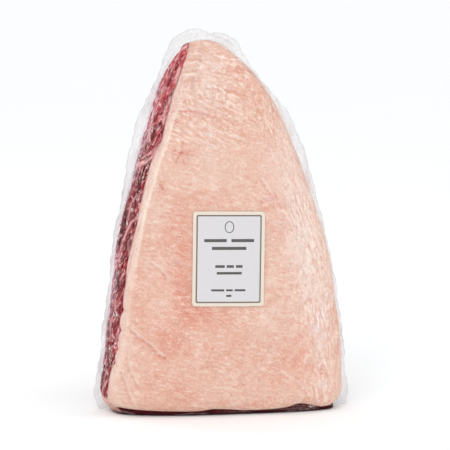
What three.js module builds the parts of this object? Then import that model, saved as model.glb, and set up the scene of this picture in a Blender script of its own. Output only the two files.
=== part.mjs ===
import * as THREE from "three";
import { mergeVertices } from "three/addons/utils/BufferGeometryUtils.js";

// A raw picanha, vacuum-packed in clear film, standing upright on its wide cut end.
// Millimetres, +Z up. The fat side faces -Y and X runs to the right of the fat side.

const { clamp, lerp, smoothstep } = THREE.MathUtils;

// ---- driving dimensions
const SHOULDER = 250.5; // height of the right corner of the narrow end
const CROWN = 11; // rise of the rounded tip above that corner
const CROWN_LEFT = 0.82; // share of that rise kept at the left corner
const CROWN_AT = 0.3; // where across the narrow end the tip is highest
const TIP_ROLL = 27; // depth below the tip over which the face rolls to the back
const FAT = 7.5; // thickness of the fat layer
const CUT_DEPTH = 7.2; // depth of the fat's cut edge on the left side
const GAP = 0.4; // clearance between touching pieces
const DOME_AT = 0.42; // where across the face the dome is highest
const SIDE_WRAP = 6; // how far the fat runs round the right side past the widest line
const TIP_WRAP = 2.5; // the same at the tip
const BACK_CORNER = 5; // rounding of the back left edge
const BACK_RIGHT = 15; // rounding of the back right edge
const BAG_THICK = 1.2; // the free margin of the bag, two films pressed together
const BAG_CLEAR = 0.5; // between the meat and the margin
const BAG_STEPS = 120;
const LABEL_W = 49.5;
const LABEL_H = 63.8;
const LABEL_R = 2.2;
const LABEL_T = 0.8;
const LABEL_X = 2.9; // centre of the label on the face
const LABEL_Z = 112.2;
const LABEL_TURN = -0.02; // radians, anticlockwise seen from the front
const COLS = 30; // grid of the face, across
const ROWS = 34; // and upwards
const DEPTH = 6; // steps from the front of the lean to its back

// A smooth curve through [position, value] pairs, read by position.
function through(pairs) {
  const end = pairs.length - 1;
  const slope = (i) => {
    const a = pairs[Math.max(i - 1, 0)];
    const b = pairs[Math.min(i + 1, end)];
    return (b[1] - a[1]) / (b[0] - a[0]);
  };
  return (at) => {
    let i = 0;
    while (i < end - 1 && at > pairs[i + 1][0]) i++;
    const span = pairs[i + 1][0] - pairs[i][0];
    const t = clamp((at - pairs[i][0]) / span, 0, 1);
    const rise = (1 - t) * (1 - t) * t * slope(i) - t * t * (1 - t) * slope(i + 1);
    return lerp(pairs[i][1], pairs[i + 1][1], t * t * (3 - 2 * t)) + rise * span;
  };
}

// ---- outlines by height: the line where fat meets lean on the cut side, the widest line
// of the lean behind it, the widest line on the right, and the depths of face and back
const cutLine = through([
  [0, -76], [4, -79], [12, -80.5], [28, -78.3], [54, -73], [90, -68.4], [115, -64.4], [139, -58.6],
  [161, -53.6], [176, -50], [186, -44.6], [193, -41.4], [215, -36.4], [241, -27.4], [250.5, -23.8], [260, -21],
]);
const leanLine = through([
  [0, -78], [4, -81.8], [9, -84], [17, -85.2], [42, -82], [60, -80.4], [93, -75.6], [127, -71.8],
  [161, -62.6], [195, -53.9], [229, -43.4], [243, -37.4], [249, -34.2], [254, -30.6], [260, -24.6],
]);
const rightLine = through([
  [0, 83], [3, 85], [8, 86.5], [19, 86.6], [44, 86.2], [61, 85], [78, 82.4], [96, 80], [112, 77.2], [146, 67.2],
  [163, 61], [180, 55], [214, 40], [231, 29], [248, 13.6], [250.5, 11],
]);
const faceDepth = through([[0, 23], [30, 24.5], [100, 23.5], [160, 20.5], [210, 17], [262, 13]]);
const backDepth = through([[0, 20], [40, 21.5], [100, 20.5], [160, 18], [210, 15], [262, 11]]);
const cutWidth = through([
  [0, 3.2], [25, 2.8], [64, 3], [97, 3.2], [112, 3.8], [130, 3.3], [148, 2.8], [158, 3.8], [167, 5], [176, 5],
  [187, 3.4], [199, 3.2], [207, 4], [216, 6], [228, 7.5], [249, 8], [260, 7],
]);
const leftFall = through([[0, 10], [30, 8], [80, 6.4], [262, 5]]); // of the face towards its left crest
const sideFullness = through([[0, 3.6], [60, 3.1], [150, 2.7], [262, 2.4]]);
const lowerEdge = through([
  [-82, 7.4], [-72, 6], [-58, 4.8], [-31, 2.5], [-17, 4], [-6, 5.2], [18, 3.5], [44, 4.6], [54, 7], [72, 3.6], [84, 7],
]);

// Creases of the face: from, to, depth; and knots of fat standing a little proud.
const CREASES = [
  [-68, 60, -41, 39, 0.9],
  [-50, 106, -38, 96, 0.7],
  [63, 84, 35, 46, 0.9],
  [35, 46, 19, 6, 0.8],
  [-30, 212, -8, 210, 0.5],
  [-34, 183, -20, 178, 0.5],
];
const CREASE_HALF = 3.6;
const KNOTS = [[20, 60, 22, 0.9], [-40, 130, 20, 0.7], [38, 150, 24, 0.9], [-5, 225, 14, 0.6], [-50, 40, 16, 0.7]];

function creaseDepth(x, z) {
  let sum = 0;
  for (const [x0, z0, x1, z1, deep] of CREASES) {
    const long = (x1 - x0) ** 2 + (z1 - z0) ** 2;
    const t = clamp(((x - x0) * (x1 - x0) + (z - z0) * (z1 - z0)) / long, 0, 1);
    const away = Math.hypot(x - lerp(x0, x1, t), z - lerp(z0, z1, t));
    sum += deep * Math.exp(-((away / CREASE_HALF) ** 2));
  }
  for (const [kx, kz, reach, proud] of KNOTS) {
    sum -= proud * Math.exp(-((x - kx) ** 2 + (z - kz) ** 2) / reach ** 2);
  }
  return sum;
}

// Height of a row of the face grid, with the rows closer together at the foot and the tip.
const rowShare = (t) => 0.55 * t + 0.225 * (1 - Math.cos(Math.PI * t));

// How much of the crown's rise a place across the row takes, from 0 at the left to 1 at the right.
function crownShare(s) {
  if (s < CROWN_AT) return 1 - (1 - CROWN_LEFT) * ((CROWN_AT - s) / CROWN_AT) ** 2;
  return 1 - ((s - CROWN_AT) / (1 - CROWN_AT)) ** 2;
}

// The lines of a row of the grid: its heights at both ends and the places of its edges.
function lines(t) {
  const level = SHOULDER * rowShare(t);
  const rise = CROWN * smoothstep(t, 0.5, 1) ** 2;
  const high = level + rise * CROWN_LEFT;
  const cut = cutLine(high);
  return { level, rise, high, cut, lean: leanLine(high), right: rightLine(level), width: cutWidth(high) };
}

// A point of the outer face: u from -1 at the left crest to 1 round the right side, t upwards.
function face(u, t, relief = 1) {
  const { level, rise, cut, right, width } = lines(t);
  const crest = cut + width;
  const ridge = lerp(crest, right, DOME_AT);
  const angle = (Math.max(u, 0) * Math.PI) / 2;
  const power = 2 / sideFullness(level);
  const across = Math.sin(angle) ** power;
  const fullness = Math.max(Math.cos(angle), 0) ** power;
  const x = u < 0 ? lerp(ridge, crest, -u) : lerp(ridge, right, across);
  const tip = crownShare((x - cut) / (right - cut));
  const foot = lowerEdge(x) * Math.exp(-level / 18);
  const z = level + foot + rise * tip;
  const below = clamp((SHOULDER + CROWN * tip - z) / TIP_ROLL, 0, 1);
  const tipRoll = Math.sqrt(1 - (1 - below) ** 2);
  const left = u < 0 ? leftFall(level) * Math.abs(u) ** 2.4 + 1.6 * u ** 16 : 0;
  const footRoll = 3.5 * Math.exp(-((z - foot) / 4.5));
  const deep = (faceDepth(z) * fullness - left - footRoll * fullness) * tipRoll;
  const wrap = SIDE_WRAP * smoothstep(u, 0.8, 1) * tipRoll + TIP_WRAP * (1 - tipRoll);
  const creased = relief * creaseDepth(x, z) * tipRoll * fullness;
  return new THREE.Vector3(x, wrap - deep + creased, z);
}

// The inner side of the fat layer, or the front of the lean with the extra clearance.
function inner(u, t, clearance = 0) {
  const p = face(u, t, 0);
  const step = 0.01;
  const nu = clamp(u, step - 1, 0.96);
  const nt = clamp(t, step, 0.98);
  const du = face(nu + step, nt, 0).sub(face(nu - step, nt, 0));
  const dt = face(nu, nt + step, 0).sub(face(nu, nt - step, 0));
  const extra = clearance * (1 + 3 * smoothstep(u, 0.6, 1) * smoothstep(t, 0.8, 1));
  const inward = dt.cross(du).normalize();
  const thick = FAT * (1 - 0.6 * smoothstep(u, 0.6, 1)) * (1 - 0.55 * smoothstep(t, 0.8, 1));
  const plain = inward.clone().multiplyScalar(thick + extra);
  const { level, rise, high, cut: edge, right, width } = lines(t);
  const slump = level + rise * crownShare(width / (right - edge)) - high;
  const cut = new THREE.Vector3(-width, CUT_DEPTH * (1 - 0.5 * smoothstep(t, 0.85, 1)) + extra, -slump);
  return p.add(plain.lerp(cut, 1 - smoothstep(u, -1, -0.8)));
}

// A box whose vertices are moved by a function of their place in it, each from 0 to 1.
function mapped(nx, ny, nz, place) {
  const box = new THREE.BoxGeometry(1, 1, 1, nx, ny, nz);
  box.deleteAttribute("normal");
  box.deleteAttribute("uv");
  const geometry = mergeVertices(box, 1e-5);
  const at = geometry.getAttribute("position");
  for (let i = 0; i < at.count; i++) {
    const p = place(at.getX(i) + 0.5, at.getY(i) + 0.5, at.getZ(i) + 0.5);
    at.setXYZ(i, p.x, p.y, p.z);
  }
  geometry.computeVertexNormals();
  return geometry;
}

function fatCap() {
  return mapped(COLS, 2, ROWS, (a, b, c) => {
    const u = 2 * a - 1;
    const p = face(u, c).lerp(inner(u, c), b);
    const bow = Math.sin(Math.PI * b);
    if (a < 1e-6) p.x -= 0.9 * bow;
    if (c < 1e-6) p.z -= 0.5 * bow;
    return p;
  });
}

// The back of the lean: broad lobes with shallow valleys along the grain.
function back(u, t) {
  const { level, rise, lean, right } = lines(t);
  const a = (u + 1) / 2;
  const x = lerp(lean + BACK_CORNER, right - BACK_RIGHT * (1 - 0.6 * t), a);
  const z = (level + rise * crownShare(a)) * (1 - 0.025 * t ** 6);
  const edge = Math.abs(u) ** 5;
  const lobes = 1.3 * Math.sin(x / 13 + z / 55) * Math.cos(z / 37 + 0.6) + 0.6 * Math.sin(z / 12 - x / 30);
  const footRoll = 2.5 * Math.exp(-z / 5);
  const y = backDepth(z) * (1 - 0.12 * edge) * (1 - 0.3 * t ** 8) + lobes * (1 - edge) - footRoll;
  return new THREE.Vector3(x, y, z);
}

// Folds between the rounded strands on the cut side of the lean, as depth below its surface.
function folds(z, w) {
  const wide = 0.5 + 0.5 * Math.sin(z / 7.5 + 4 * w) * Math.sin(z / 23 + 1);
  const fine = 0.5 + 0.5 * Math.sin(z / 4.6 - 6 * w + 0.5);
  return 1.4 * wide + 0.8 * fine;
}

function leanMeat() {
  const rows = ROWS + 1;
  return mapped(COLS, DEPTH, rows, (a, b, c) => {
    const u = 2 * a - 1;
    const row = Math.round(c * rows);
    const t = Math.max(row - 1, 0) / ROWS;
    const front = inner(u, t, GAP);
    const rear = back(u, t);
    const p = front.clone().lerp(rear, b);
    if (row === 0) {
      p.z = 0;
      p.x *= 0.985;
    }
    const bow = Math.sin(Math.PI * b);
    if (a < 1e-6) {
      const { cut, lean } = lines(t);
      const reach = (0.35 * (cut - lean) + 0.65 * BACK_CORNER) / 0.89;
      p.x += folds(p.z, b) * bow * (row > 1 ? 1 : 0) - reach * bow ** 0.8;
    }
    if (a > 1 - 1e-6) p.x += 4.5 * Math.sqrt(bow) * (1 - 0.5 * t) * (1 - smoothstep(t, 0.8, 1));
    if (row === rows) p.z += 2.5 * bow * (1 - u ** 4);
    return p;
  });
}

// ---- the free margin of the bag: its inner line follows the widest line of the meat from
// the foot of the left side over the tip to the right foot; widths and depths by height
const leftWidth = through([
  [0, 2], [9, 2.4], [18, 1.6], [42, 1.4], [93, 1.2], [127, 1.2], [150, 2.4], [172, 4.4], [195, 5.8],
  [212, 4.8], [229, 1.6], [244, 3], [258, 6.6],
]);
const rightWidth = through([
  [0, 3.6], [8, 4.4], [19, 4], [44, 3.2], [78, 2.2], [112, 1.8], [129, 2], [146, 3], [163, 5], [180, 6],
  [196, 6], [213, 5.4], [229, 1.4], [240, 2.6], [246, 3], [254, 6.8],
]);
const leftDepth = through([[0, 13], [150, 11], [212, 9], [244, 6.5], [258, 5]]);
const rightDepth = through([[0, 5], [200, 5], [244, 3.4]]);
const MARGIN_FOOT = 1.8;
const MARGIN_STEPS = 26;
const TIP_WIDTH = 6.8;

function vacuumBag() {
  const stations = [];
  const climb = (k, head) => lerp(MARGIN_FOOT, head, k / MARGIN_STEPS);
  for (let k = 0; k <= MARGIN_STEPS; k++) {
    const z = climb(k, SHOULDER + CROWN * CROWN_LEFT - 2);
    stations.push([leanLine(z) - BAG_CLEAR, leftDepth(z), z, leftWidth(z)]);
  }
  for (let a = 0.1; a < 0.95; a += 0.16) {
    const x = lerp(cutLine(SHOULDER + CROWN), rightLine(SHOULDER), a);
    stations.push([x, 3.4, SHOULDER + CROWN * crownShare(a) + BAG_CLEAR, TIP_WIDTH]);
  }
  for (let k = MARGIN_STEPS; k >= 0; k--) {
    const z = climb(k, SHOULDER - 1);
    stations.push([rightLine(z) + BAG_CLEAR, rightDepth(z), z, rightWidth(z)]);
  }
  const line = new THREE.CatmullRomCurve3(stations.map((s) => new THREE.Vector3(...s)), false, "centripetal");
  const reach = through(stations.map((s, i) => [i / (stations.length - 1), s[3]]));
  return mapped(BAG_STEPS, 1, 2, (a, b, c) => {
    const p = line.getPoint(a);
    const along = line.getTangent(a);
    const out = new THREE.Vector3(-along.z, 0, along.x).normalize();
    const wave = 0.35 * Math.sin(a * 150) + 0.3 * Math.sin(a * 67 + 1);
    p.addScaledVector(out, c * (reach(a) + wave));
    p.y += (b - 0.5) * BAG_THICK + c * (0.9 * Math.sin(a * 95) + 0.6 * Math.sin(a * 41));
    p.z = Math.max(p.z, 1.3);
    return p;
  });
}

// ---- the label: a thin rounded plate bent to the face
function faceY(x, z) {
  const hit = (low, high, f) => {
    for (let i = 0; i < 24; i++) {
      const mid = (low + high) / 2;
      if (f(mid) > 0) high = mid;
      else low = mid;
    }
    return (low + high) / 2;
  };
  let u = 0;
  let t = 0.4;
  for (let k = 0; k < 4; k++) {
    t = hit(0.05, 0.95, (v) => face(u, v).z - z);
    u = hit(-1, 1, (v) => face(v, t).x - x);
  }
  return face(u, t).y;
}

function label() {
  const across = 9;
  const up = 11;
  const line = (i, n, half) => {
    if (i === 0 || i === n) return i ? half : -half;
    return lerp(LABEL_R - half, half - LABEL_R, (i - 1) / (n - 2));
  };
  const cut = LABEL_R * (1 - Math.SQRT1_2);
  return mapped(across, 1, up, (a, b, c) => {
    const i = Math.round(a * across);
    const j = Math.round(c * up);
    const corner = i % across === 0 && j % up === 0 ? cut : 0;
    const dx = line(i, across, LABEL_W / 2) - Math.sign(a - 0.5) * corner;
    const dz = line(j, up, LABEL_H / 2) - Math.sign(c - 0.5) * corner;
    const x = LABEL_X + dx * Math.cos(LABEL_TURN) - dz * Math.sin(LABEL_TURN);
    const z = LABEL_Z + dx * Math.sin(LABEL_TURN) + dz * Math.cos(LABEL_TURN);
    return new THREE.Vector3(x, faceY(x, z) - GAP - LABEL_T * (1 - b), z);
  });
}

const group = new THREE.Group();

function add(name, geometry, color, roughness, more = {}) {
  const mesh = new THREE.Mesh(geometry, new THREE.MeshStandardMaterial({ color, roughness, metalness: 0, ...more }));
  mesh.name = name;
  group.add(mesh);
}

add("lean_meat", leanMeat(), 0x86393e, 0.45);
add("fat_cap", fatCap(), 0xebbfa8, 0.42);
add("vacuum_bag", vacuumBag(), 0xe9eaeb, 0.12, { transparent: true, opacity: 0.35 });

add("label", label(), 0xe3e2e3, 0.6);

// The origin lies on the floor under the middle of the whole.
const box = new THREE.Box3().setFromObject(group);
for (const mesh of group.children) {
  mesh.geometry.translate(-(box.min.x + box.max.x) / 2, -(box.min.y + box.max.y) / 2, 0);
}

export default group;
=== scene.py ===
import math

import bmesh
import bpy
import numpy as np
from mathutils import Matrix, Vector, noise
from mathutils.bvhtree import BVHTree


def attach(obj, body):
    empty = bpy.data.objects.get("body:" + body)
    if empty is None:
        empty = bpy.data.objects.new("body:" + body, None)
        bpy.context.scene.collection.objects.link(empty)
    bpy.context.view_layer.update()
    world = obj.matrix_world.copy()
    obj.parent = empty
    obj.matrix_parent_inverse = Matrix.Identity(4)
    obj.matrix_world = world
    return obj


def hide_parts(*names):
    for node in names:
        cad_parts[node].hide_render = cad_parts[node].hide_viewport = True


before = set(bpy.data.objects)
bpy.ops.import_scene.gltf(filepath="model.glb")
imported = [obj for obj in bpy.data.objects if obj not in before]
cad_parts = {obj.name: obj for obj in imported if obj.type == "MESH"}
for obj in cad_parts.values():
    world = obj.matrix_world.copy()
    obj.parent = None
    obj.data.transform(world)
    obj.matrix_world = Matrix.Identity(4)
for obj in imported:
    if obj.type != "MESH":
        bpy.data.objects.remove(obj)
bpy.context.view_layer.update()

bl_info = {
    "name": "Raw picanha in a vacuum bag",
    "version": (1, 0, 0),
    "blender": (4, 5, 0),
    "location": "View3D > Sidebar > Picanha",
    "description": "Dresses the packed solids of a raw picanha with fat, lean, film and label",
    "category": "Object",
}

MM = 0.001

# ---- the sizes of the solids, in millimetres, before the origin was put under the middle
SHIFT = np.array((-2.02, 1.435, 0.0))
SHOULDER = 250.5
CROWN = 11.0
CROWN_LEFT = 0.82
CROWN_AT = 0.3
TIP_ROLL = 27.0
FAT = 7.5
CUT_DEPTH = 7.2
GAP = 0.4
DOME_AT = 0.42
SIDE_WRAP = 6.0
TIP_WRAP = 2.5
TIP_SLOPE = 0.45  # the wrinkles near the tip fall to the right by this
BACK_CORNER = 5.0
BACK_RIGHT = 15.0
FOOT = 0.7  # the meat stands this far above the floor, on its film
FILM_FOOT = 0.12


def through(pairs):
    """A smooth curve through (position, value) pairs, read by position."""
    at, value = np.array(pairs, float).T
    slope = np.empty_like(value)
    slope[1:-1] = (value[2:] - value[:-2]) / (at[2:] - at[:-2])
    slope[0] = (value[1] - value[0]) / (at[1] - at[0])
    slope[-1] = (value[-1] - value[-2]) / (at[-1] - at[-2])

    def read(x):
        x = np.asarray(x, float)
        i = np.clip(np.searchsorted(at, x) - 1, 0, len(at) - 2)
        span = at[i + 1] - at[i]
        t = np.clip((x - at[i]) / span, 0, 1)
        rise = (1 - t) ** 2 * t * slope[i] - t * t * (1 - t) * slope[i + 1]
        return value[i] + (value[i + 1] - value[i]) * t * t * (3 - 2 * t) + rise * span

    return read


CUT_LINE = through([
    (0, -76), (4, -79), (12, -80.5), (28, -78.3), (54, -73), (90, -68.4), (115, -64.4), (139, -58.6),
    (161, -53.6), (176, -50), (186, -44.6), (193, -41.4), (215, -36.4), (241, -27.4), (250.5, -23.8),
    (260, -21),
])
LEAN_LINE = through([
    (0, -78), (4, -81.8), (9, -84), (17, -85.2), (42, -82), (60, -80.4), (93, -75.6), (127, -71.8),
    (161, -62.6), (195, -53.9), (229, -43.4), (243, -37.4), (249, -34.2), (254, -30.6), (260, -24.6),
])
RIGHT_LINE = through([
    (0, 83), (3, 85), (8, 86.5), (19, 86.6), (44, 86.2), (61, 85), (78, 82.4), (96, 80), (112, 77.2),
    (146, 67.2), (163, 61), (180, 55), (214, 40), (231, 29), (248, 13.6), (250.5, 11),
])
FACE_DEPTH = through([(0, 23), (30, 24.5), (100, 23.5), (160, 20.5), (210, 17), (262, 13)])
BACK_DEPTH = through([(0, 20), (40, 21.5), (100, 20.5), (160, 18), (210, 15), (262, 11)])
CUT_WIDTH = through([
    (0, 3.2), (25, 2.8), (64, 3), (97, 3.2), (112, 3.8), (130, 3.3), (148, 2.8), (158, 3.8), (167, 5),
    (176, 5), (187, 3.4), (199, 3.2), (207, 4), (216, 6), (228, 7.5), (249, 8), (260, 7),
])
LEFT_FALL = through([(0, 10), (30, 8), (80, 6.4), (262, 5)])
SIDE_FULLNESS = through([(0, 3.6), (60, 3.1), (150, 2.7), (262, 2.4)])
LOWER_EDGE = through([
    (-82, 7.4), (-72, 6), (-58, 4.8), (-31, 3.9), (-17, 4), (-6, 5.2), (18, 3.5), (44, 4.6), (54, 7),
    (72, 3.6), (84, 7),
])
CREASES = (
    (-68, 60, -41, 39, 0.9), (-50, 106, -38, 96, 0.7), (63, 84, 35, 46, 0.9), (35, 46, 19, 6, 0.8),
    (-30, 212, -8, 210, 0.5), (-34, 183, -20, 178, 0.5),
)
CREASE_HALF = 3.6
KNOTS = (
    (20, 60, 22, 0.9), (-40, 130, 20, 0.7), (38, 150, 24, 0.9), (-5, 225, 14, 0.6), (-50, 40, 16, 0.7),
)

# ---- what only the detailed pieces carry
PINCHES = (  # fine creases: points x, z with a depth and half width
    (((-65, 62.5), (-58.6, 57.6), (-51.9, 52.2), (-46.6, 46.6), (-43.1, 43.5)), 0.75, 1.1),
    (((-51, 109.6), (-46, 106.4), (-40, 99.6)), 0.6, 1.0),
    (((61.9, 83.8), (53.4, 75.6), (44.3, 67.5), (37.4, 58.1), (32.3, 47.6)), 0.75, 1.1),
    (((32.3, 47.6), (26.1, 32.8), (19.4, 19), (15.3, 8.5)), 0.45, 1.8),
    (((-30.7, 213.5), (-22.8, 214.4), (-16.2, 213.4), (-7.3, 209.9)), 0.45, 1.0),
    (((-67.7, 43.3), (-65.8, 34.4), (-61, 24)), 0.45, 1.3),
    (((-71.5, 33), (-67.1, 18.7), (-63.1, 9.7)), 0.5, 1.6),
    (((-50, 137.2), (-42.4, 137.6), (-33.5, 134.7)), 0.25, 0.9),
    (((-54.1, 107.1), (-50.1, 105.8)), 0.3, 0.9), (((26.4, 165.8), (33.3, 154), (38.3, 139.1)), 0.35, 1.6),
    (((66.6, 80.2), (64, 52.3), (69.5, 37.8), (77.1, 20.5)), 0.35, 1.8),
    (((-18, 204), (-2, 198), (13, 194)), 0.3, 1.0), (((40, 30), (52, 22), (62, 10)), 0.35, 1.6),
)
STAR = (-29.5, 185.4)  # where short red threads meet, each given by its end and strength
STAR_ARMS = (
    ((-36, 187), 0.8), ((-33, 179), 0.8), ((-27, 177), 0.7), ((-22, 183), 0.9), ((-20, 187.5), 0.6),
    ((-28, 193), 0.6), ((-39, 182), 0.5),
)
VEINS = (  # red threads: points x, z with a strength
    *(((STAR, end), strength) for end, strength in STAR_ARMS), (((-42.9, 43.4), (-42.2, 42.6)), 1.2),
    (((-48.2, 31), (-47.8, 30.2)), 0.9), (((-30.7, 213.5), (-16.2, 213.4), (-7.3, 209.9)), 0.6),
    (((1.6, 160.2), (1.8, 159)), 0.7), (((35.5, 155.2), (36.4, 154.2)), 0.9),
    (((24, 168), (31, 158), (36, 152)), 0.5), (((41, 133.8), (41.6, 132.8)), 0.8),
    (((-46, 56), (-43, 49), (-41, 42)), 0.4), (((-27, 84), (-18, 76), (-9, 74)), 0.5),
    (((-33, 92), (-30, 84)), 0.4), (((52, 58), (55, 55)), 0.8), (((61, 52), (63.5, 48)), 0.6),
    (((58, 35), (57, 31)), 0.7), (((10, 243), (24, 238)), 0.4), (((-44, 163), (-42, 160)), 1.0),
    (((-40, 121), (-30, 118)), 0.3),
)
BLUSH = (  # x, z, reach across, reach up, amount
    (-43, 161, 6, 5, 0.75), (-36, 129, 13, 17, 0.42), (-27, 84, 12, 13, 0.7), (-14, 72, 15, 9, 0.85),
    (-45, 60, 18, 14, 0.35), (-38, 50, 13, 12, 0.45), (-48, 31, 11, 9, 0.42), (-17, 153, 18, 10, 0.4),
    (-16, 213, 22, 10, 0.35), (31, 149, 9, 7, 0.85), (0, 54, 22, 14, 0.3), (53, 57, 10, 9, 0.5),
    (58, 42, 12, 16, 0.4), (20, 238, 15, 9, 0.55), (-30, 185, 10, 8, 0.5), (-34, 16, 24, 9, 0.4),
    (20, 25, 42, 18, 0.22), (40, 133, 7, 10, 0.45), (34, 180, 14, 22, 0.25), (-42, 100, 14, 8, 0.3),
    (-28, 112, 11, 26, 0.65), (-38, 66, 14, 16, 0.2), (-61, 82, 7, 32, 0.5), (-54, 125, 6, 22, 0.3),
    (52, 38, 13, 18, 0.35),
)
PALE = (  # the same, where the fat is paler
    (60, 110, 16, 60, 0.6), (48, 150, 10, 30, 0.4), (70, 50, 10, 40, 0.4), (-8, 228, 14, 16, 0.45),
    (-50, 150, 8, 20, 0.4), (40, 185, 16, 24, 0.45), (4, 20, 16, 16, 0.3), (-66, 40, 6, 20, 0.25),
    (60, 120, 13, 34, 0.55), (-10, 175, 16, 12, 0.35), (30, 70, 10, 12, 0.3),
)
SEAMS = (  # of fat on the back: points x, z with a half width
    (((-56, 8), (-47, 40), (-41, 80), (-31, 104), (-28, 128)), 2.3), (((44, 4), (33, 40), (27, 72)), 2.0),
    (((2, 138), (9, 170), (4, 204)), 1.7),
)
WALL = 30.0  # the cut side of the lean, from front to back
MEMBRANES = (  # pale skins on the cut side: points z and share of the way back, strength, half width
    (((158.1, 0.01), (151.8, 0.25), (147.2, 0.29), (141.7, 0.30), (137.8, 0.20)), 0.75, 0.7),
    (((140.2, 0.0), (136.3, 0.11), (128.4, 0.18), (118.2, 0.25), (108.8, 0.35), (98.7, 0.6), (88.7, 0.65)),
     0.95, 0.8),
    (((101.8, 0.0), (99.5, 0.08), (95.6, 0.15)), 0.7, 0.7),
    (((187.8, 0.0), (181, 0.03), (177.2, 0.14), (172.4, 0.86)), 1.0, 1.1),
    (((187.8, 0.05), (184, 0.1), (180, 0.28)), 0.7, 0.8), (((239.9, 0.05), (233, 0.0)), 0.8, 1.9),
    (((257.4, 0.05), (254.5, 0.3), (250.7, 0.26)), 0.9, 1.0),
    (((81.3, 0.21), (66.8, 0.26), (52.5, 0.29)), 0.6, 0.8),
    (((226, 0.3), (214, 0.36), (198, 0.3), (184, 0.34)), 0.7, 0.7),
    (((222, 0.02), (212, 0.07), (205, 0.02)), 0.7, 1.2), (((248, 0.34), (236, 0.3), (224, 0.42)), 0.7, 0.8),
    (((80, 0.05), (74, 0.2), (70, 0.02)), 0.6, 0.8), (((52, 0.02), (47, 0.2), (42, 0.05)), 0.6, 0.8),
    (((36, 0.3), (24, 0.25), (14, 0.3)), 0.5, 1.2), (((128, 0.02), (122, 0.1), (116, 0.04)), 0.4, 0.6),
)
VALLEYS = (  # hollows on the cut side, dented in and darkened by painted shade, in the same way
    (((227.2, 0.04), (219.2, 0.09), (210.2, 0.14), (200, 0.2)), 0.9, 1.3),
    (((250, 0.12), (240, 0.2), (230, 0.24)), 0.8, 1.1), (((176, 0.08), (166, 0.16), (158, 0.22)), 0.8, 2.6),
    (((206, 0.1), (198, 0.2), (190, 0.2)), 0.8, 2.0), (((154, 0.05), (146, 0.14), (140, 0.1)), 0.7, 2.0),
    (((92, 0.2), (84, 0.25)), 0.85, 2.4), (((134, 0.04), (122, 0.12), (110, 0.2), (101, 0.3)), 0.5, 1.4),
    (((146, 0.42), (132, 0.36), (118, 0.44)), 0.9, 1.6), (((46, 0.3), (38, 0.18), (30, 0.24)), 0.7, 1.4),
    (((68, 0.4), (56, 0.38), (44, 0.44)), 0.8, 1.2), (((112, 0.5), (100, 0.45), (90, 0.5)), 0.8, 1.2),
    (((262, 0.1), (256, 0.16)), 0.7, 1.0),
)
GLINTS = (  # painted glints: white highlights on folds of the film on the cut side, in the same way
    (((73.4, 0.07), (71.2, 0.02)), 0.95, 0.6), (((72.6, 0.16), (70.8, 0.1)), 0.8, 0.45),
    (((70.4, 0.12), (68.6, 0.01)), 0.6, 0.4), (((61.2, 0.12), (58.8, 0.08)), 0.75, 0.5),
    (((57.4, 0.1), (55.4, 0.0)), 0.9, 0.45), (((66, 0.2), (63, 0.18)), 0.5, 0.4),
    (((49.3, 0.18), (46.4, 0.13)), 0.8, 0.6), (((44.6, 0.1), (41.4, 0.03)), 0.6, 0.45),
    (((38.6, 0.06), (37.4, 0.0)), 0.8, 0.5), (((31.5, 0.1), (29.5, 0.04)), 0.85, 0.6),
    (((33.4, 0.2), (30.6, 0.22)), 0.5, 0.4), (((24, 0.26), (20, 0.22)), 0.5, 0.4),
    (((125, 0.3), (123.2, 0.42)), 0.9, 0.55), (((119.4, 0.46), (116.6, 0.52)), 0.8, 0.5),
    (((136.3, 0.12), (134.4, 0.09)), 0.8, 0.5), (((213.6, 0.2), (208, 0.19)), 0.7, 0.4),
    (((201, 0.16), (197, 0.12)), 0.6, 0.4), (((216.7, 0.0), (218.4, 0.07)), 0.8, 0.5),
    (((203, 0.06), (198, 0.04)), 0.7, 0.4), (((146, 0.07), (144, 0.05)), 0.8, 0.5),
    (((252, 0.08), (247, 0.05)), 0.7, 0.5), (((243, 0.16), (239, 0.22)), 0.6, 0.45),
    (((234, 0.2), (230, 0.24)), 0.5, 0.4), (((247, 0.26), (244, 0.2)), 0.7, 0.5),
    (((131, 0.42), (128.6, 0.46)), 0.8, 0.5), (((110, 0.42), (107, 0.46)), 0.5, 0.4),
    (((181, 0.4), (179.4, 0.48)), 0.5, 0.45),
    (((240, 0.34), (222, 0.4), (200, 0.37), (184, 0.42)), 0.42, 0.4),
    (((176, 0.36), (158, 0.42), (140, 0.38)), 0.42, 0.4),
    (((150, 0.44), (128, 0.4), (108, 0.45), (92, 0.42)), 0.42, 0.4),
    (((96, 0.36), (80, 0.42), (58, 0.38), (36, 0.42)), 0.4, 0.4),
)
FOOT_GLINTS = (  # painted glints on folds of the film below the fat, points x, z with a strength and half width
    (((16, 3.2), (30, 4.2), (44, 3.2), (58, 3.9), (70, 4.4)), 0.15, 0.5),
    (((36, 5.6), (50, 5.4), (62, 5.0), (74, 6.0)), 0.14, 0.4), (((61, 4.0), (63.5, 4.2)), 0.9, 0.5),
    (((-34, 1.2), (-22, 2.2), (-12, 1.8)), 0.16, 0.5), (((-78, 4), (-70, 3.2), (-62, 1.6)), 0.16, 0.6),
    (((-6, 1.2), (8, 2.6), (16, 2.4)), 0.12, 0.5), (((44, 1.6), (56, 2.2), (68, 2.4)), 0.2, 0.5),
    (((66, 6.8), (76, 4.2), (82, 3)), 0.3, 0.6),
)
FROST_AND_SHEEN = (  # painted sheen where light catches the film: x, z, reach across, reach up, amount
    (54, 128, 7, 30, 0.8), (68, 62, 6, 26, 1.0), (-10, 228, 10, 18, 0.5), (-9, 192, 6, 8, 0.9),
    (44, 160, 7, 20, 0.5), (29, 150, 6, 4, 0.8), (36, 178, 7, 20, 0.4), (-33, 110, 3, 3, 0.5),
    (-4, 247, 10, 6, 0.7), (70, 20, 6, 5, 0.4), (34, 128, 7, 14, 0.35), (72, 84, 5, 12, 0.5),
    (-22, 205, 10, 12, 0.25),
)


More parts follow.
